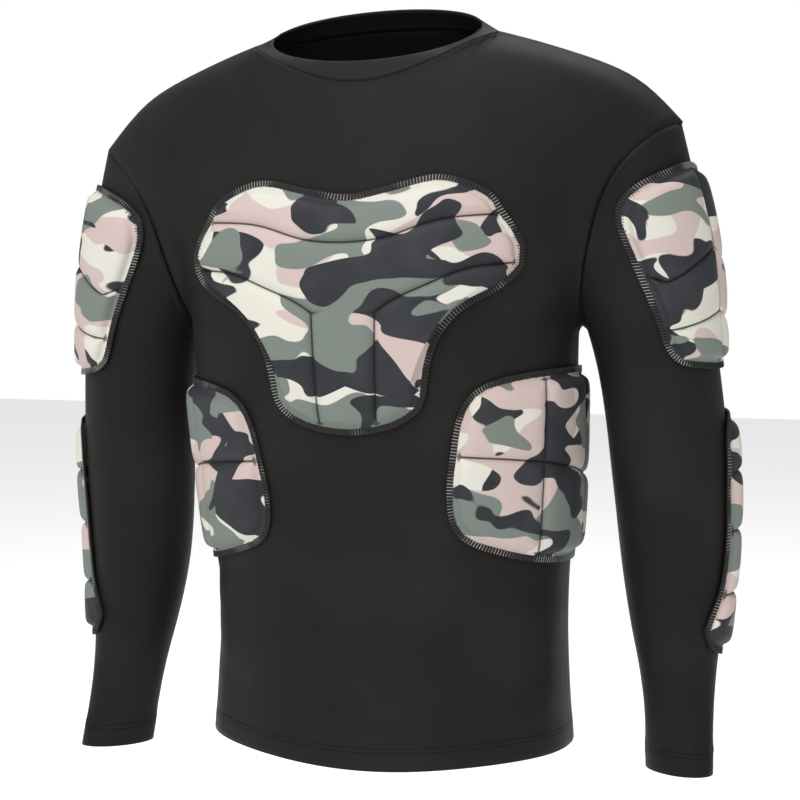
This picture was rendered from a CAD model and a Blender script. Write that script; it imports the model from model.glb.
"""Padded compression shirt: knit cloth, printed foam pads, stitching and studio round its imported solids."""

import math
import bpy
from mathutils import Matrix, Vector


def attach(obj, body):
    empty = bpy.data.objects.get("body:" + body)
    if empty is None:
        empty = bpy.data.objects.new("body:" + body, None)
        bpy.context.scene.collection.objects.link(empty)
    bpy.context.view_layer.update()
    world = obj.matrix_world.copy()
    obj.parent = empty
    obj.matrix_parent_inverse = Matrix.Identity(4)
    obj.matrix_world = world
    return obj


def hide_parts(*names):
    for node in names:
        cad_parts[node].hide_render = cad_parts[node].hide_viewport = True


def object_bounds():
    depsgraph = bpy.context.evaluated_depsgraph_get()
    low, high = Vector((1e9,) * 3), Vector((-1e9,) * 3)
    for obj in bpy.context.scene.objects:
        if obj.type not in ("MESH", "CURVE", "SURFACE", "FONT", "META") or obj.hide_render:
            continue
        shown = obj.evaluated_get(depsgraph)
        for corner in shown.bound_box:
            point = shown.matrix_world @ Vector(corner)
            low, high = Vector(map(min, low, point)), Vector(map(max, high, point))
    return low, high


bl_info = {
    "name": "Padded compression shirt",
    "version": (1, 0, 0),
    "blender": (4, 5, 0),
    "location": "View3D > Sidebar > Shirt",
    "description": "Dresses the solids of a padded compression shirt in knit cloth, foam pads and stitching",
    "category": "Object",
}

import bmesh
import bpy
import numpy as np
from bpy.props import FloatProperty, FloatVectorProperty, PointerProperty
from mathutils import Matrix, Vector
from mathutils.bvhtree import BVHTree
from mathutils.kdtree import KDTree

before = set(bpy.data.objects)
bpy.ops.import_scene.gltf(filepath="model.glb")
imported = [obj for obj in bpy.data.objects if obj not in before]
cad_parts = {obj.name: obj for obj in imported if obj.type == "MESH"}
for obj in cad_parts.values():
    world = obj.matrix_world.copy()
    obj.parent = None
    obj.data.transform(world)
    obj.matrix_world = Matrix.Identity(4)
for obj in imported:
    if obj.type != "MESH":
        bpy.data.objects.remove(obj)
solids_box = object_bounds()

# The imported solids, by what they are
BODY_PANELS = ("front_body", "back_body")
SLEEVES = ("sleeve_left", "sleeve_right")
NECKBAND = "neckband"
CLOTH = BODY_PANELS + SLEEVES + (NECKBAND,)
PADS = (
    "pad_chest",
    "pad_rib_left",
    "pad_rib_right",
    "pad_arm_left",
    "pad_arm_right",
    "pad_elbow_left",
    "pad_elbow_right",
)

# How a solid becomes a smooth form
MERGE_DISTANCE = 1e-5
SMOOTH_LEVELS = 2
FLAT_ENOUGH_TO_JOIN = 0.7
SQUARE_ENOUGH_TO_JOIN = 0.9
CUT_EDGE_ANGLE = math.radians(75)
CORNER_ANGLE = math.radians(24)
CLOTH_THICKEST = 0.003
FOAM_EDGE_ANGLE = math.radians(38)
FOAM_EDGE_CREASE = 0.55
SHARP_SHADING_ANGLE = math.radians(55)

# Radii that turn an angle round a piece into a distance across its knit, and the slices that find its middle
TORSO_RADIUS = 0.155
SLEEVE_RADIUS = 0.05
NECK_RADIUS = 0.09
SLICE_HEIGHT = 0.03

# Hems, seams and the overlocked edge of a pad
EDGE_SAMPLE = 0.001
NO_EDGE_NEAR = 1.0
HEM_REACH = 0.045
HEM_SLOPE = 0.6
FLANGE_THICK = 0.0017
FLANGE_SLACK = 0.00006
FLANGE_WIDE = 0.008
FLANGE_CLIMB = 0.7
CHANNEL_FOAM = (0.0036, 0.0054)
CHANNEL_FLOOR_SLACK = 4 * FLANGE_SLACK
CURVE_STEPS = 12
STITCH_LIFT = 0.0002
STITCH_SIDES = 6
STITCH_SLANT = 0.04
STITCH_FLATNESS = 0.8
STITCH_REACH = 0.66
STITCH_UNEVEN = 0.08
STITCH_WAVES = (2.1, 0.37)

# Sewn lines on the knit: half a row's width, and where shadow, pucker and welt lie beside a seam
ROW_HALF_WIDTH = 0.0006
HEM_STEP = 0.002
SEAM_SHADOW = (0.0004, 0.0022)
SEAM_PUCKER = (0.001, 0.009)
WELT_MIDDLE = 0.003
WELT_SIDES = (0.0002, 0.0022)
SEWN_SHADOW = (0.006, 0.006, 0.006, 1.0)
SHEEN_TINT = (0.8, 0.78, 0.75, 1.0)

# Heights of the relief in the materials
KNIT_RELIEF = 0.00007
SEWN_RELIEF = 0.0005
SLACK_RELIEF = 0.006
PUCKER_RELIEF = 0.0006
WEAVE_RELIEF = 0.00006
DIMPLE_RELIEF = 0.0008
THREAD_RELIEF = 0.0001

# The print of a pad: its blobs' edge, its faded ink, its channels, and how far in from the rim it starts
BLOB_EDGE = 0.004
FADED_SHARE = 0.16
FADED_INK = (0.25, 0.25, 0.25, 1.0)
CHANNEL_MARK = (0.55, 0.85)
CHANNEL_SHARE = 0.82
CHANNEL_SHADOW = (0.012, 0.012, 0.014, 1.0)
PRINT_START = (0.0053, 0.0057)

# The overlock thread where it sinks, where it comes up, and between its strands
SUNK_THREAD = (0.02, 0.02, 0.021, 1.0)
PALE_THREAD = (0.38, 0.38, 0.36, 1.0)
THREAD_SHADOW = (0.03, 0.03, 0.03, 1.0)

# Soft folds of the cloth: both ends, the way out of the cloth, width and height, less than 0 for a trough
FOLD_END = 0.1
FOLD_DEPTH_SHARE = 0.8
FOLDS = (
    # Front of the right armhole and the sleeve's cap
    ((-0.213, -0.057, -0.154), (-0.160, -0.067, -0.250), (-0.3, -0.95, 0.0), 0.0110, -0.0036),
    ((-0.252, -0.044, -0.110), (-0.226, -0.055, -0.140), (-0.6, -0.8, 0.0), 0.0070, -0.0016),
    ((-0.232, -0.050, -0.150), (-0.205, -0.055, -0.190), (-0.5, -0.85, 0.0), 0.0080, 0.0012),
    ((-0.164, -0.050, -0.262), (-0.138, -0.078, -0.276), (-0.5, -0.85, 0.0), 0.0075, 0.0014),
    # Front of the left armhole
    ((0.234, -0.052, -0.108), (0.191, -0.048, -0.215), (0.45, -0.9, 0.0), 0.0110, -0.0038),
    ((0.222, -0.058, -0.100), (0.180, -0.062, -0.190), (0.3, -0.95, 0.0), 0.0100, 0.0012),
    ((0.188, -0.025, -0.232), (0.152, -0.072, -0.266), (0.6, -0.8, 0.0), 0.0095, -0.0028),
    ((0.190, -0.030, -0.212), (0.160, -0.066, -0.236), (0.6, -0.8, 0.0), 0.0080, 0.0012),
    # Shoulders and collar
    ((-0.110, -0.060, -0.030), (-0.195, -0.059, -0.090), (-0.3, -0.8, 0.5), 0.0150, 0.0012),
    ((0.115, -0.060, -0.030), (0.190, -0.060, -0.085), (0.3, -0.8, 0.5), 0.0150, -0.0010),
    ((-0.030, -0.095, -0.080), (-0.060, -0.100, -0.115), (0.0, -1.0, 0.0), 0.0100, -0.0007),
    # Below the rib pads
    ((-0.154, -0.045, -0.490), (-0.104, -0.086, -0.478), (-0.5, -0.85, 0.0), 0.0070, -0.0036),
    ((-0.156, -0.045, -0.506), (-0.112, -0.082, -0.496), (-0.5, -0.85, 0.0), 0.0065, 0.0022),
    ((0.172, -0.010, -0.496), (0.140, -0.072, -0.484), (0.8, -0.6, 0.0), 0.0075, -0.0021),
    ((0.168, -0.030, -0.510), (0.130, -0.078, -0.502), (0.7, -0.7, 0.0), 0.0065, 0.0012),
    # Belly and hem
    ((-0.070, -0.105, -0.445), (-0.098, -0.086, -0.530), (-0.3, -0.95, 0.0), 0.0110, -0.0018),
    ((-0.019, -0.105, -0.487), (0.104, -0.091, -0.500), (0.0, -1.0, 0.0), 0.0150, -0.0013),
    ((-0.055, -0.101, -0.530), (0.060, -0.103, -0.572), (0.0, -1.0, 0.0), 0.0160, 0.0013),
    ((0.166, -0.035, -0.525), (0.160, -0.045, -0.610), (0.8, -0.6, 0.0), 0.0120, 0.0013),
    ((0.110, -0.088, -0.605), (0.166, -0.035, -0.555), (0.6, -0.8, 0.0), 0.0110, -0.0015),
    ((-0.166, -0.030, -0.545), (-0.100, -0.085, -0.598), (-0.6, -0.8, 0.0), 0.0110, -0.0013),
    # Right sleeve
    ((-0.203, -0.010, -0.372), (-0.245, -0.035, -0.345), (0.3, -0.95, 0.0), 0.0085, -0.0014),
    ((-0.210, -0.005, -0.412), (-0.252, -0.030, -0.432), (0.3, -0.95, 0.0), 0.0085, -0.0012),
    ((-0.222, 0.000, -0.500), (-0.262, -0.022, -0.486), (0.3, -0.95, 0.0), 0.0090, 0.0010),
    ((-0.268, -0.028, -0.604), (-0.235, -0.020, -0.588), (0.0, -1.0, 0.0), 0.0080, -0.0010),
    ((-0.250, 0.040, -0.320), (-0.208, 0.020, -0.352), (0.3, 0.95, 0.0), 0.0085, -0.0014),
    # Left sleeve
    ((0.213, -0.020, -0.325), (0.264, -0.035, -0.345), (-0.2, -0.95, 0.0), 0.0090, -0.0014),
    ((0.230, -0.012, -0.436), (0.268, -0.030, -0.414), (-0.2, -0.95, 0.0), 0.0085, -0.0013),
    ((0.250, -0.020, -0.520), (0.288, -0.024, -0.536), (0.0, -1.0, 0.0), 0.0090, 0.0010),
    ((0.266, -0.028, -0.612), (0.298, -0.018, -0.596), (0.0, -1.0, 0.0), 0.0080, -0.0010),
    ((0.252, 0.040, -0.306), (0.210, 0.020, -0.340), (-0.3, 0.95, 0.0), 0.0085, -0.0014),
    # Back
    ((-0.120, 0.080, -0.435), (0.020, 0.100, -0.456), (0.0, 1.0, 0.0), 0.0150, -0.0020),
    ((-0.010, 0.100, -0.490), (0.125, 0.080, -0.462), (0.0, 1.0, 0.0), 0.0130, -0.0018),
    ((-0.060, 0.095, -0.470), (0.050, 0.098, -0.478), (0.0, 1.0, 0.0), 0.0100, 0.0012),
    ((-0.015, 0.105, -0.190), (-0.030, 0.105, -0.330), (0.0, 1.0, 0.0), 0.0160, -0.0013),
    ((-0.190, 0.065, -0.150), (-0.165, 0.070, -0.255), (-0.3, 0.95, 0.0), 0.0100, -0.0021),
    ((0.190, 0.065, -0.160), (0.165, 0.068, -0.262), (0.3, 0.95, 0.0), 0.0100, -0.0023),
    ((-0.160, 0.060, -0.262), (-0.110, 0.090, -0.285), (-0.4, 0.9, 0.0), 0.0100, 0.0014),
    ((0.160, 0.060, -0.272), (0.115, 0.090, -0.300), (0.4, 0.9, 0.0), 0.0100, 0.0012),
    ((-0.130, 0.078, -0.560), (0.030, 0.098, -0.588), (0.0, 1.0, 0.0), 0.0160, 0.0013),
)

# The camera's sensor, the point that it looks at, and half the floor's width
SENSOR = 36.0
TARGET = Vector((0.015, 0.0, -0.329))
FLOOR_REACH = 6.0


class ClothSettings(bpy.types.PropertyGroup):
    """The black knit cloth"""

    colour: FloatVectorProperty(
        name="Knit colour",
        description="Colour of the black knit",
        subtype="COLOR",
        size=3,
        min=0.0,
        max=1.0,
        default=(0.0150, 0.0139, 0.0133),
    )
    worn_colour: FloatVectorProperty(
        name="Stretched colour",
        description="Colour where the knit is stretched and its white core shows a little",
        subtype="COLOR",
        size=3,
        min=0.0,
        max=1.0,
        default=(0.0215, 0.0197, 0.0187),
    )
    rib_pitch: FloatProperty(
        name="Knit column pitch",
        description="Distance between two columns of the knit",
        unit="LENGTH",
        default=0.0009,
    )
    course_pitch: FloatProperty(
        name="Knit row pitch",
        description="Distance between two rows of the knit",
        unit="LENGTH",
        default=0.0007,
    )
    hem_width: FloatProperty(
        name="Hem width",
        description="Depth of the folded hem and cuffs, up to the lower of their two rows of stitches",
        unit="LENGTH",
        default=0.016,
    )
    row_gap: FloatProperty(
        name="Stitch row gap",
        description="Distance between the two rows of stitches over a hem",
        unit="LENGTH",
        default=0.004,
    )
    stitch_length: FloatProperty(
        name="Hem stitch length",
        description="Length of one stitch over a hem",
        unit="LENGTH",
        default=0.0026,
    )


class PadSettings(bpy.types.PropertyGroup):
    """The printed foam pads and their overlocked edges"""

    ink_colour: FloatVectorProperty(
        name="Charcoal",
        description="Dark ground of the camouflage",
        subtype="COLOR",
        size=3,
        min=0.0,
        max=1.0,
        default=(0.0125, 0.0142, 0.0195),
    )
    pink_colour: FloatVectorProperty(
        name="Dusty pink",
        description="Pink of the camouflage",
        subtype="COLOR",
        size=3,
        min=0.0,
        max=1.0,
        default=(0.600, 0.475, 0.445),
    )
    green_colour: FloatVectorProperty(
        name="Grey green",
        description="Grey green of the camouflage",
        subtype="COLOR",
        size=3,
        min=0.0,
        max=1.0,
        default=(0.175, 0.205, 0.182),
    )
    white_colour: FloatVectorProperty(
        name="Off-white",
        description="Off-white of the camouflage",
        subtype="COLOR",
        size=3,
        min=0.0,
        max=1.0,
        default=(0.710, 0.690, 0.610),
    )
    blob_scale: FloatProperty(
        name="Blob frequency",
        description="How many camouflage blobs there are to a metre",
        default=13.0,
    )
    blob_stretch: FloatProperty(
        name="Blob stretch",
        description="How much wider than tall the blobs are",
        default=1.7,
    )
    stitch_pitch: FloatProperty(
        name="Edge stitch pitch",
        description="Distance between two stitches of a pad's overlocked edge",
        unit="LENGTH",
        default=0.0028,
    )
    stitch_radius: FloatProperty(
        name="Edge stitch thickness",
        description="Half the thickness of one stitch of a pad's overlocked edge",
        unit="LENGTH",
        default=0.00040,
    )
    fill: FloatProperty(
        name="Foam fill",
        description="How tight the foam fills its cover",
        subtype="FACTOR",
        min=0.0,
        max=1.0,
        default=0.9,
    )


class StudioSettings(bpy.types.PropertyGroup):
    """The camera, the floor and the lights"""

    azimuth: FloatProperty(
        name="Camera azimuth",
        description="How far the camera stands round to the shirt's left side",
        subtype="ANGLE",
        default=math.radians(16.0),
    )
    elevation: FloatProperty(
        name="Camera elevation",
        description="How far the camera looks down",
        subtype="ANGLE",
        default=math.radians(5.0),
    )
    distance: FloatProperty(
        name="Camera distance",
        description="Distance from the middle of the shirt to the camera",
        unit="LENGTH",
        default=1.7,
    )
    lens: FloatProperty(
        name="Focal length",
        description="Focal length of the camera",
        unit="CAMERA",
        default=83.16,
    )
    floor_drop: FloatProperty(
        name="Floor drop",
        description="How far the floor lies below the lowest point of the shirt",
        unit="LENGTH",
        default=0.25,
    )
    floor_glow: FloatProperty(
        name="Floor glow",
        description="How strongly the floor glows, so that it stays nearly white",
        default=0.46,
    )
    air_light: FloatProperty(
        name="Air light",
        description="How strongly the white surroundings light the shirt",
        default=0.32,
    )
    key_power: FloatProperty(
        name="Key light power",
        description="Power of the large front light",
        unit="POWER",
        default=52.0,
    )
    side_power: FloatProperty(
        name="Side light power",
        description="Power of each side light",
        unit="POWER",
        default=3.5,
    )
    neck_power: FloatProperty(
        name="Neck light power",
        description="Power of the light above the neck, which also shows the inside of the collar",
        unit="POWER",
        default=7.0,
    )
    top_power: FloatProperty(
        name="Top light power",
        description="Power of the light above and behind",
        unit="POWER",
        default=24.0,
    )


class Signal:
    """A socket that takes part in Python expressions, each of which adds its Math node."""

    def __init__(self, finish, socket):
        self.finish = finish
        self.socket = socket

    def maths(self, operation, first, second):
        return self.finish.add("ShaderNodeMath", "Value", {"operation": operation}, {0: first, 1: second})

    def __add__(self, other):
        return self.maths("ADD", self, other)

    __radd__ = __add__

    def __sub__(self, other):
        return self.maths("SUBTRACT", self, other)

    def __rsub__(self, other):
        return self.maths("SUBTRACT", other, self)

    def __mul__(self, other):
        return self.maths("MULTIPLY", self, other)

    __rmul__ = __mul__


class Finish:
    """A material and the one way that nodes are added to it."""

    def __init__(self, name):
        self.material = bpy.data.materials.new(name)
        self.material.use_nodes = True
        self.tree = self.material.node_tree
        self.shader = self.tree.nodes["Principled BSDF"]

    def add(self, kind, output, settings=None, sockets=None):
        node = self.tree.nodes.new(kind)
        for name, value in (settings or {}).items():
            setattr(node, name, value)
        for name, value in (sockets or {}).items():
            self.join(node.inputs[name], value)
        return Signal(self, node.outputs[output])

    def join(self, socket, value):
        if isinstance(value, Signal):
            self.tree.links.new(value.socket, socket)
        else:
            socket.default_value = value

    def set(self, **sockets):
        for name, value in sockets.items():
            title = "IOR" if name == "ior" else name.replace("_", " ").title()
            self.join(self.shader.inputs[title], value)

    def attribute(self, name):
        return self.add("ShaderNodeAttribute", "Fac", {"attribute_name": name})

    def place(self, turn=(0.0, 0.0, 0.0), scale=(1.0, 1.0, 1.0), shift=(0.0, 0.0, 0.0)):
        point = self.add("ShaderNodeTexCoord", "Object")
        sockets = {"Vector": point, "Location": shift, "Rotation": turn, "Scale": scale}
        return self.add("ShaderNodeMapping", "Vector", None, sockets)

    def noise(self, point, scale, detail=2.0, roughness=0.5, distortion=0.0):
        sockets = {
            "Vector": point,
            "Scale": scale,
            "Detail": detail,
            "Roughness": roughness,
            "Distortion": distortion,
        }
        return self.add("ShaderNodeTexNoise", "Fac", None, sockets)

    def step(self, signal, low, high):
        settings = {"interpolation_type": "SMOOTHSTEP"}
        sockets = {"Value": signal, "From Min": low, "From Max": high, "To Min": 0.0, "To Max": 1.0}
        return self.add("ShaderNodeMapRange", "Result", settings, sockets)

    def sine(self, signal, pitch):
        turns = signal * (2 * math.pi / pitch)
        return self.add("ShaderNodeMath", "Value", {"operation": "SINE"}, {0: turns})

    def size_of(self, signal):
        return self.add("ShaderNodeMath", "Value", {"operation": "ABSOLUTE"}, {0: signal})

    def blend(self, factor, first, second):
        return self.add("ShaderNodeMix", 2, {"data_type": "RGBA"}, {0: factor, 6: first, 7: second})

    def bump(self, height, distance, strength=1.0, under=None):
        sockets = {"Height": height, "Distance": distance, "Strength": strength}
        if under is not None:
            sockets["Normal"] = under
        return self.add("ShaderNodeBump", "Normal", None, sockets)


def solid_colour(colour):
    return (colour[0], colour[1], colour[2], 1.0)


# Materials


def knit_bump(finish, settings, grain, across):
    """The columns and rows of a fine jersey knit, along the piece's own grain."""
    along = finish.add("ShaderNodeSeparateXYZ", "Y", None, {0: grain})
    columns = finish.size_of(finish.sine(across, settings.rib_pitch * 2))
    rows = finish.sine(along + columns * (settings.course_pitch * 0.5), settings.course_pitch)
    return finish.bump(columns * 0.6 + rows * 0.4, KNIT_RELIEF)


def make_knit(settings):
    """Smooth black stretch jersey with a soft sheen, and twin rows of stitches over its hems."""
    finish = Finish("Black stretch knit")
    broad = finish.noise(finish.place(), 9.0, 3.0)
    worn = finish.step(broad, 0.35, 0.75)
    colour = finish.blend(worn, solid_colour(settings.colour), solid_colour(settings.worn_colour))
    hem = finish.attribute("hem_distance")
    seam = finish.attribute("seam_distance")
    upper_row = settings.hem_width + settings.row_gap
    rows = None
    for height in (settings.hem_width, upper_row):
        away = finish.size_of(hem - height)
        row = 1 - finish.step(away, ROW_HALF_WIDTH * 0.5, ROW_HALF_WIDTH * 1.6)
        rows = row if rows is None else rows + row
    grain = finish.add("ShaderNodeUVMap", "UV", {"uv_map": "grain"})
    across = finish.add("ShaderNodeSeparateXYZ", "X", None, {0: grain})
    stitch = finish.step(finish.sine(across, settings.stitch_length), -0.75, -0.2)
    near_seam = 1 - finish.step(seam, *SEAM_SHADOW)
    hemmed = finish.blend(rows * (1 - stitch * 0.6) * 0.7, colour, SEWN_SHADOW)
    finish.set(
        base_color=finish.blend(near_seam * 0.65, hemmed, SEWN_SHADOW),
        roughness=finish.noise(finish.place(), 60.0, 2.0) * 0.12 + 0.38,
        sheen_weight=0.012,
        ior=1.16,
        sheen_roughness=0.45,
    )
    finish.shader.inputs["Sheen Tint"].default_value = SHEEN_TINT
    knit = knit_bump(finish, settings, grain, across)
    turned_under = finish.step(hem, settings.hem_width - HEM_STEP, upper_row + HEM_STEP)
    sewn = finish.bump(rows * (stitch * 0.7 - 1.0) - turned_under * 0.9, SEWN_RELIEF, 1.0, knit)
    slack = finish.noise(finish.place(scale=(1.0, 1.0, 0.6)), 14.0, 2.0, 0.5, 0.4)
    loose = finish.bump(slack, SLACK_RELIEF, 0.35, sewn)
    beside_seam = 1 - finish.step(seam, *SEAM_PUCKER)
    pucker = finish.noise(finish.place(), 110.0, 2.0) * beside_seam
    welt = 1 - finish.step(finish.size_of(seam - WELT_MIDDLE), *WELT_SIDES)
    finish.set(normal=finish.bump(pucker * 0.8 + welt * 0.5, PUCKER_RELIEF, 0.8, loose))
    return finish.material


def make_camouflage(cloth, settings):
    """Printed cover of a foam pad: crisp layered blobs, darker channels, and black knit on the sewn edge."""
    finish = Finish("Printed camouflage")
    stretched = (1.0, 1.0, settings.blob_stretch)
    # Each colour's shift, turn, ink, noise above which it shows, and how much finer its blobs are
    layers = (
        ((1.73, 0.55, 2.91), (-0.1, 0.3, -0.16), settings.white_colour, 0.470, 0.85),
        ((4.27, 1.18, 0.63), (0.2, -0.1, 0.2), settings.pink_colour, 0.510, 0.90),
        ((0.31, 0.12, 0.05), (0.1, 0.2, 0.12), settings.green_colour, 0.560, 1.05),
        ((7.9, 3.36, 5.2), (0.0, 0.2, -0.1), settings.ink_colour, 0.580, 1.15),
    )
    colour = solid_colour(settings.ink_colour)
    for shift, turn, ink, share, finer in layers:
        point = finish.place(turn, stretched, shift)
        blob = finish.noise(point, settings.blob_scale * finer, 1.0, 0.42, 0.55)
        shows = finish.step(blob, share - BLOB_EDGE, share + BLOB_EDGE)
        colour = finish.blend(shows, colour, solid_colour(ink))
    border = finish.attribute("border")
    groove = finish.step(finish.attribute("channel"), *CHANNEL_MARK)
    faded = finish.noise(finish.place(), 28.0, 3.0)
    printed = finish.blend(faded * FADED_SHARE, colour, FADED_INK)
    shaded = finish.blend(groove * CHANNEL_SHARE, printed, CHANNEL_SHADOW)
    edge = 1 - finish.step(border, *PRINT_START)
    finish.set(
        base_color=finish.blend(edge, shaded, solid_colour(cloth.colour)),
        roughness=finish.noise(finish.place(), 90.0, 2.0) * 0.1 + 0.55,
        sheen_weight=0.04,
        sheen_roughness=0.4,
    )
    finish.shader.inputs["Specular IOR Level"].default_value = 0.18
    weave = finish.noise(finish.place(), 1400.0, 1.0)
    dimple = finish.noise(finish.place(), 55.0, 2.0)
    fine = finish.bump(weave, WEAVE_RELIEF)
    finish.set(normal=finish.bump(dimple, DIMPLE_RELIEF, 0.5, fine))
    return finish.material


def make_thread():
    """Edge thread that comes up pale in places and sinks to black in others."""
    finish = Finish("Overlock thread")
    patch = finish.step(finish.noise(finish.place(), 22.0, 2.0), 0.46, 0.60)
    twist = finish.noise(finish.place(), 900.0, 1.0)
    colour = finish.blend(patch, SUNK_THREAD, PALE_THREAD)
    finish.set(
        base_color=finish.blend(twist * 0.5, colour, THREAD_SHADOW),
        roughness=twist * 0.15 + 0.55,
        normal=finish.bump(twist, THREAD_RELIEF, 0.6),
    )
    return finish.material


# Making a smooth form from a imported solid


def merged_solid(node_name):
    """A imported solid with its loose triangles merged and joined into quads."""
    form = bmesh.new()
    form.from_mesh(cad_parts[node_name].data)
    bmesh.ops.remove_doubles(form, verts=form.verts, dist=MERGE_DISTANCE)
    bmesh.ops.join_triangles(
        form,
        faces=form.faces,
        angle_face_threshold=FLAT_ENOUGH_TO_JOIN,
        angle_shape_threshold=SQUARE_ENOUGH_TO_JOIN,
    )
    form.normal_update()
    return form


def crease(form, soft_angle, soft_crease):
    """Keeps cut edges and the corners of a panel hard, and the edges past soft_angle part hard."""
    layer = form.edges.layers.float.new("crease_edge")
    for edge in form.edges:
        angle = edge.calc_face_angle(0.0)
        corner = angle > CORNER_ANGLE and edge.calc_length() < CLOTH_THICKEST
        if angle > CUT_EDGE_ANGLE or corner:
            edge[layer] = 1.0
        elif angle > soft_angle:
            edge[layer] = soft_crease


def new_piece(name, mesh, material):
    piece = bpy.data.objects.new(name, mesh)
    bpy.context.scene.collection.objects.link(piece)
    mesh.materials.clear()
    mesh.materials.append(material)
    return piece


def smooth_piece(form, name, material):
    """The form as an object, subdivided for good and shaded smooth between its hard edges."""
    rough = bpy.data.meshes.new(name + "_rough")
    form.to_mesh(rough)
    form.free()
    piece = new_piece(name, rough, material)
    smoother = piece.modifiers.new("Smooth form", "SUBSURF")
    smoother.levels = SMOOTH_LEVELS
    smoother.render_levels = SMOOTH_LEVELS
    view = bpy.context.evaluated_depsgraph_get()
    finished = bpy.data.meshes.new_from_object(piece.evaluated_get(view))
    finished.name = name
    piece.modifiers.clear()
    piece.data = finished
    finished.shade_smooth()
    finished.set_sharp_from_angle(angle=SHARP_SHADING_ANGLE)
    return piece


def write_attribute(mesh, name, values):
    mesh.attributes.new(name, "FLOAT", "POINT").data.foreach_set("value", values)


def sampled(edges):
    """Points every millimetre along the edges, in a tree that finds the nearest one."""
    points = []
    for start, end in edges:
        count = max(1, round((end - start).length / EDGE_SAMPLE))
        points.extend(start.lerp(end, step / count) for step in range(count + 1))
    tree = KDTree(len(points))
    for number, point in enumerate(points):
        tree.insert(point, number)
    tree.balance()
    return tree


def border_edges(form):
    """A panel's cut edges, parted into those of its hem or cuff and those of its seams."""
    hard = [edge for edge in form.edges if edge.calc_face_angle(0.0) > CUT_EDGE_ANGLE]
    lowest = min(vertex.co.z for vertex in form.verts)
    hems, seams = [], []
    for edge in hard:
        start, end = edge.verts[0].co.copy(), edge.verts[1].co.copy()
        level = abs(start.z - end.z) < HEM_SLOPE * (start - end).length
        low = max(start.z, end.z) < lowest + HEM_REACH
        (hems if level and low else seams).append((start, end))
    return hems, seams


def middle_line(mesh):
    """The middle of the piece at each height, as a function."""
    slices = {}
    for vertex in mesh.vertices:
        slices.setdefault(round(vertex.co.z / SLICE_HEIGHT), []).append(vertex.co)
    middles = {}
    for number, points in slices.items():
        xs = [point.x for point in points]
        ys = [point.y for point in points]
        middles[number] = Vector(((min(xs) + max(xs)) / 2, (min(ys) + max(ys)) / 2))

    def middle(height):
        place = height / SLICE_HEIGHT
        low = math.floor(place)
        first = middles.get(low, middles.get(low + 1))
        second = middles.get(low + 1, first)
        first = second if first is None else first
        return first.lerp(second, place - low)

    return middle


def lay_grain(mesh, middle, girth_radius):
    """UVs in metres: round the piece across, and up it along."""
    layer = mesh.uv_layers.new(name="grain")
    points = [vertex.co for vertex in mesh.vertices]
    angles = []
    for point in points:
        centre = middle(point.z)
        angles.append(math.atan2(point.x - centre.x, centre.y - point.y))
    values = [0.0] * (2 * len(mesh.loops))
    for face in mesh.polygons:
        first = angles[face.vertices[0]]
        for loop, vertex in zip(face.loop_indices, face.vertices):
            angle = angles[vertex]
            if angle - first > math.pi:
                angle -= 2 * math.pi
            elif first - angle > math.pi:
                angle += 2 * math.pi
            values[2 * loop] = angle * girth_radius
            values[2 * loop + 1] = points[vertex].z
    layer.data.foreach_set("uv", values)


def lay_folds(mesh):
    """Moves the points by every fold of the table, alike on both faces of the cloth and on its pads."""
    points = np.empty(3 * len(mesh.vertices))
    mesh.vertices.foreach_get("co", points)
    points = points.reshape(-1, 3)
    moved = points.copy()
    for start, end, outward, wide, high in FOLDS:
        start, end = np.array(start), np.array(end)
        outward = np.array(outward) / np.linalg.norm(outward)
        run = end - start
        along = np.clip((points - start) @ run / (run @ run), 0.0, 1.0)
        away = points - start - along[:, None] * run
        away -= FOLD_DEPTH_SHARE * (away @ outward)[:, None] * outward
        height = high * np.exp(-(away ** 2).sum(axis=1) / wide ** 2)
        height *= np.sin(math.pi * (FOLD_END + (1 - 2 * FOLD_END) * along))
        moved += height[:, None] * outward
    mesh.vertices.foreach_set("co", moved.ravel())
    mesh.update()


def make_panel(node_name, name, material, middle_for, girth_radius):
    """One cloth panel: its solid made smooth, with its grain and its distances from hem and seams."""
    form = merged_solid(node_name)
    hems, seams = border_edges(form)
    crease(form, CUT_EDGE_ANGLE, 1.0)
    piece = smooth_piece(form, name, material)
    for title, edges in (("hem_distance", hems), ("seam_distance", seams)):
        if edges:
            tree = sampled(edges)
            distances = [tree.find(vertex.co)[2] for vertex in piece.data.vertices]
        else:
            distances = [NO_EDGE_NEAR] * len(piece.data.vertices)
        write_attribute(piece.data, title, distances)
    lay_grain(piece.data, middle_for(piece.data), girth_radius)
    lay_folds(piece.data)
    declare(piece, node_name)
    return piece


def declare(piece, node_name):
    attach(piece, "root")
    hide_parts(node_name)


def torso_middle(mesh):
    return lambda height: Vector((0.0, 0.0))


# Foam pads


def cloth_surface():
    """Everything that the pads are sewn to, for measuring how far a point stands off it."""
    joined = bmesh.new()
    for node_name in CLOTH:
        joined.from_mesh(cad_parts[node_name].data)
    tree = BVHTree.FromBMesh(joined)
    joined.free()
    return tree


def sewn_edge(form, cloth):
    """Each point on the top corner of a pad's thin sewn edge, with the point under it."""
    unders = {}
    for edge in form.edges:
        length = edge.calc_length()
        if abs(length - FLANGE_THICK) > FLANGE_SLACK:
            continue
        first, second = edge.verts
        climb = cloth.find_nearest(first.co)[3] - cloth.find_nearest(second.co)[3]
        if abs(climb) > FLANGE_CLIMB * length:
            top, under = (first, second) if climb > 0 else (second, first)
            unders[top] = under
    return unders


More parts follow.
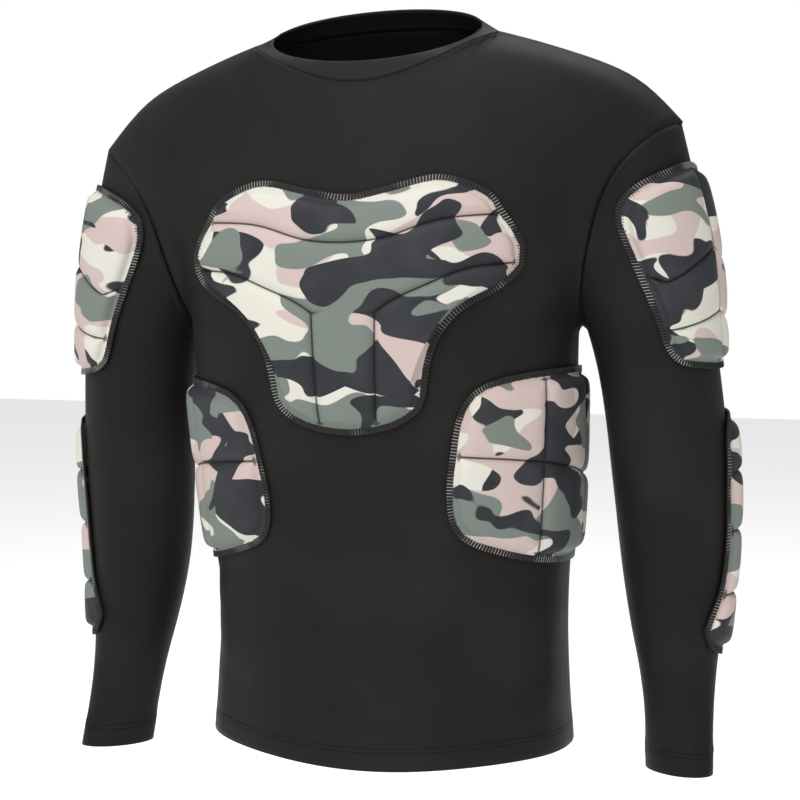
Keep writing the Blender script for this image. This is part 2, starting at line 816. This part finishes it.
def ordered_rim(form, unders):
    """The rim's points in order round a pad: on its top corner, under it, and inside it where foam begins."""
    ring = [next(iter(unders))]
    while len(ring) < len(unders):
        ahead = [edge.other_vert(ring[-1]) for edge in ring[-1].link_edges]
        ahead = [vertex for vertex in ahead if vertex in unders and vertex not in ring[-2:]]
        if not ahead or ahead[0] is ring[0]:
            raise ValueError(f"a pad's rim has {len(unders)} points, and its ring {len(ring)}")
        ring.append(ahead[0])
    inner = []
    for vertex in ring:
        choices = [edge.other_vert(vertex) for edge in vertex.link_edges]
        choices = [other for other in choices if other not in unders and other is not unders[vertex]]
        inner.append(min(choices, key=lambda other: abs((other.co - vertex.co).length - FLANGE_WIDE)))
    return [
        [vertex.co.copy() for vertex in ring],
        [unders[vertex].co.copy() for vertex in ring],
        [vertex.co.copy() for vertex in inner],
    ]


def underside(form, unders):
    """The face of a pad that lies on the cloth, for measuring how thick the foam is above it."""
    waiting = [face for vertex in unders.values() for face in vertex.link_faces]
    found = set()
    while waiting:
        face = waiting.pop()
        if face in found or any(vertex in unders for vertex in face.verts):
            continue
        found.add(face)
        waiting.extend(other for edge in face.edges for other in edge.link_faces)
    points = [vertex.co.copy() for vertex in form.verts]
    return BVHTree.FromPolygons(points, [[vertex.index for vertex in face.verts] for face in found])


def rim_tree(rim):
    tops = rim[0]
    return sampled(list(zip(tops, tops[1:] + tops[:1])))


def mark_channels(form, rim, back):
    """An attribute that is 1 along the sewn channels between a pad's cells and 0 beside them."""
    tree = rim_tree(rim)
    layer = form.verts.layers.float.new("channel")
    deep = []
    for vertex in form.verts:
        foam = back.find_nearest(vertex.co)[3]
        if CHANNEL_FOAM[0] < foam < CHANNEL_FOAM[1] and tree.find(vertex.co)[2] > FLANGE_WIDE:
            vertex[layer] = 1.0
            deep.append(vertex)
    for vertex in deep:
        for edge in vertex.link_edges:
            other = edge.other_vert(vertex)
            if abs(back.find_nearest(other.co)[3] - FLANGE_THICK) < CHANNEL_FLOOR_SLACK:
                other[layer] = 1.0


def curve_point(points, place):
    """A point on the closed smooth curve that the points steer, as subdivision draws it."""
    count = len(points)
    index = math.floor(place)
    t = place - index
    before, first, second, after = (points[(index + step) % count] for step in (-1, 0, 1, 2))
    return (
        before * ((1 - t) ** 3 / 6)
        + first * ((3 * t ** 3 - 6 * t ** 2 + 4) / 6)
        + second * ((-3 * t ** 3 + 3 * t ** 2 + 3 * t + 1) / 6)
        + after * (t ** 3 / 6)
    )


def evenly(points, pitch):
    """Places along the closed curve, a pitch apart."""
    places = [index / CURVE_STEPS for index in range(len(points) * CURVE_STEPS + 1)]
    line = [curve_point(points, place) for place in places]
    lengths = [0.0]
    for first, second in zip(line, line[1:]):
        lengths.append(lengths[-1] + (second - first).length)
    count = round(lengths[-1] / pitch)
    found = []
    position = 0
    for number in range(count):
        wanted = lengths[-1] * number / count
        while lengths[position + 1] < wanted:
            position += 1
        share = (wanted - lengths[position]) / (lengths[position + 1] - lengths[position])
        found.append(places[position] + share / CURVE_STEPS)
    return found


def make_edge_stitches(name, rim, settings, material):
    """Short threads across a pad's sewn edge, one slanted thread to each stitch."""
    tops, unders, inners = rim
    form = bmesh.new()
    for number, place in enumerate(evenly(tops, settings.stitch_pitch)):
        outer = curve_point(tops, place)
        below = curve_point(unders, place)
        inner = curve_point(inners, place + STITCH_SLANT)
        up = (outer - below).normalized()
        wave = math.sin(number * STITCH_WAVES[0]) * math.sin(number * STITCH_WAVES[1])
        reach = STITCH_REACH + STITCH_UNEVEN * wave
        start = outer + up * STITCH_LIFT
        end = outer.lerp(inner, reach) + up * STITCH_LIFT
        along = (end - start).normalized()
        side = up.cross(along).normalized()
        raised = along.cross(side)
        middle = (start + end) / 2
        turned = Matrix((side, raised, along)).transposed().to_4x4()
        flattened = Matrix.Diagonal((1.0, STITCH_FLATNESS, 1.0, 1.0))
        bmesh.ops.create_cone(
            form,
            cap_ends=True,
            segments=STITCH_SIDES,
            radius1=settings.stitch_radius,
            radius2=settings.stitch_radius,
            depth=(end - start).length,
            matrix=Matrix.Translation(middle) @ turned @ flattened,
        )
    mesh = bpy.data.meshes.new(name)
    form.to_mesh(mesh)
    form.free()
    mesh.shade_smooth()
    mesh.set_sharp_from_angle(angle=SHARP_SHADING_ANGLE)
    lay_folds(mesh)
    piece = new_piece(name, mesh, material)
    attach(piece, "root")


def make_pad(node_name, cloth, material, thread, settings):
    """One foam pad with its sewn edge, its distance from the rim as an attribute, and its edge stitches."""
    form = merged_solid(node_name)
    form.verts.index_update()
    unders = sewn_edge(form, cloth)
    rim = ordered_rim(form, unders)
    mark_channels(form, rim, underside(form, unders))
    crease(form, FOAM_EDGE_ANGLE, FOAM_EDGE_CREASE)
    piece = smooth_piece(form, "foam_" + node_name, material)
    points = [vertex.co for vertex in piece.data.vertices]
    tree = rim_tree(rim)
    write_attribute(piece.data, "border", [tree.find(point)[2] for point in points])
    lay_folds(piece.data)
    declare(piece, node_name)
    make_edge_stitches("edge_stitches_" + node_name, rim, settings, thread)


# Operators


class SHIRT_OT_body_panels(bpy.types.Operator):
    """Makes the front and the back of the shirt"""

    bl_idname = "shirt.body_panels"
    bl_label = "Front and back"

    def execute(self, context):
        knit = material_named("Black stretch knit", make_knit, context.scene.shirt_cloth)
        for node_name in BODY_PANELS:
            piece = make_panel(node_name, "knit_" + node_name, knit, torso_middle, TORSO_RADIUS)
        return {"FINISHED"}


class SHIRT_OT_sleeves(bpy.types.Operator):
    """Makes the two long sleeves"""

    bl_idname = "shirt.sleeves"
    bl_label = "Sleeves"

    def execute(self, context):
        knit = material_named("Black stretch knit", make_knit, context.scene.shirt_cloth)
        for node_name in SLEEVES:
            piece = make_panel(node_name, "knit_" + node_name, knit, middle_line, SLEEVE_RADIUS)
        return {"FINISHED"}


class SHIRT_OT_neckband(bpy.types.Operator):
    """Makes the band round the neck"""

    bl_idname = "shirt.neckband"
    bl_label = "Neckband"

    def execute(self, context):
        knit = material_named("Black stretch knit", make_knit, context.scene.shirt_cloth)
        piece = make_panel(NECKBAND, "knit_neckband", knit, torso_middle, NECK_RADIUS)
        return {"FINISHED"}


class SHIRT_OT_pads(bpy.types.Operator):
    """Makes the chest, rib, upper arm and elbow pads with their overlocked edges"""

    bl_idname = "shirt.pads"
    bl_label = "Foam pads"

    def execute(self, context):
        scene = context.scene
        printed = material_named("Printed camouflage", make_camouflage, scene.shirt_cloth, scene.shirt_pads)
        thread = material_named("Overlock thread", make_thread)
        cloth = cloth_surface()
        for node_name in PADS:
            make_pad(node_name, cloth, printed, thread, scene.shirt_pads)
        return {"FINISHED"}


class SHIRT_OT_studio(bpy.types.Operator):
    """Sets up the pale floor, the soft lights and the camera"""

    bl_idname = "shirt.studio"
    bl_label = "Floor, lights and camera"

    def execute(self, context):
        settings = context.scene.shirt_studio
        make_floor(settings)
        make_lights(settings)
        make_camera(context.scene, settings)
        return {"FINISHED"}


def material_named(name, maker, *settings):
    return bpy.data.materials.get(name) or maker(*settings)


# Studio


def make_floor(settings):
    form = bmesh.new()
    below = Matrix.Translation((0.0, 0.0, solids_box[0].z - settings.floor_drop))
    bmesh.ops.create_grid(form, x_segments=2, y_segments=2, size=FLOOR_REACH, matrix=below)
    mesh = bpy.data.meshes.new("studio_floor")
    form.to_mesh(mesh)
    form.free()
    finish = Finish("Pale studio floor")
    speckle = finish.noise(finish.place(), 3.0, 2.0) * 0.02 + 0.88
    finish.set(base_color=(0.96, 0.96, 0.96, 1.0), roughness=speckle)
    finish.set(emission_color=(1.0, 1.0, 1.0, 1.0), emission_strength=settings.floor_glow)
    floor = new_piece("studio_floor", mesh, finish.material)


def make_lights(settings):
    # Each light's name, place, width and power
    lights = (
        ("key_light", (-0.35, -1.9, 1.8), 1.5, settings.key_power),
        ("left_light", (2.3, -0.9, 0.1), 1.8, settings.side_power),
        ("right_light", (-2.4, -0.3, 0.0), 1.8, settings.side_power),
        ("top_light", (0.2, 1.2, 2.0), 1.8, settings.top_power),
        ("neck_light", (0.0, -0.55, 1.5), 0.5, settings.neck_power),
    )
    for name, place, width, power in lights:
        light = bpy.data.lights.new(name, "AREA")
        light.shape = "SQUARE"
        light.size = width
        light.energy = power
        lamp = bpy.data.objects.new(name, light)
        lamp.location = place
        lamp.rotation_euler = (TARGET - Vector(place)).to_track_quat("-Z", "Y").to_euler()
        bpy.context.scene.collection.objects.link(lamp)
    world = bpy.context.scene.world or bpy.data.worlds.new("Studio air")
    bpy.context.scene.world = world
    world.use_nodes = True
    nodes = world.node_tree.nodes
    air = nodes["Background"]
    air.inputs["Color"].default_value = (1.0, 1.0, 1.0, 1.0)
    seen = nodes.new("ShaderNodeLightPath")
    strength = nodes.new("ShaderNodeMapRange")
    strength.inputs["To Min"].default_value = settings.air_light
    strength.inputs["To Max"].default_value = 1.0
    world.node_tree.links.new(seen.outputs["Is Camera Ray"], strength.inputs["Value"])
    world.node_tree.links.new(strength.outputs["Result"], air.inputs["Strength"])


def make_camera(scene, settings):
    away = Vector(
        (
            math.sin(settings.azimuth) * math.cos(settings.elevation),
            -math.cos(settings.azimuth) * math.cos(settings.elevation),
            math.sin(settings.elevation),
        )
    )
    view = bpy.data.cameras.new("photo_camera")
    view.lens = settings.lens
    view.sensor_width = SENSOR
    view.sensor_fit = "HORIZONTAL"
    camera = bpy.data.objects.new("photo_camera", view)
    camera.location = TARGET + away * settings.distance
    camera.rotation_euler = away.to_track_quat("Z", "Y").to_euler()
    scene.collection.objects.link(camera)
    scene.camera = camera
    scene.view_settings.view_transform = "Standard"


class SHIRT_PT_panel(bpy.types.Panel):
    """Lists the pieces of the shirt and their sizes and colours"""

    bl_label = "Padded compression shirt"
    bl_idname = "SHIRT_PT_panel"
    bl_space_type = "VIEW_3D"
    bl_region_type = "UI"
    bl_category = "Shirt"

    def draw(self, context):
        for settings in (context.scene.shirt_cloth, context.scene.shirt_pads, context.scene.shirt_studio):
            box = self.layout.box()
            for name in settings.__annotations__:
                box.prop(settings, name)
        for operator in OPERATORS:
            self.layout.operator(operator.bl_idname)


OPERATORS = (
    SHIRT_OT_body_panels,
    SHIRT_OT_sleeves,
    SHIRT_OT_neckband,
    SHIRT_OT_pads,
    SHIRT_OT_studio,
)
CLASSES = (ClothSettings, PadSettings, StudioSettings) + OPERATORS + (SHIRT_PT_panel,)


def register():
    for kind in CLASSES:
        bpy.utils.register_class(kind)
    bpy.types.Scene.shirt_cloth = PointerProperty(type=ClothSettings)
    bpy.types.Scene.shirt_pads = PointerProperty(type=PadSettings)
    bpy.types.Scene.shirt_studio = PointerProperty(type=StudioSettings)


def unregister():
    del bpy.types.Scene.shirt_studio
    del bpy.types.Scene.shirt_pads
    del bpy.types.Scene.shirt_cloth
    for kind in reversed(CLASSES):
        bpy.utils.unregister_class(kind)


def main():
    register()
    bpy.ops.shirt.body_panels()
    bpy.ops.shirt.sleeves()
    bpy.ops.shirt.neckband()
    bpy.ops.shirt.pads()
    bpy.ops.shirt.studio()


if __name__ == "__main__":
    main()
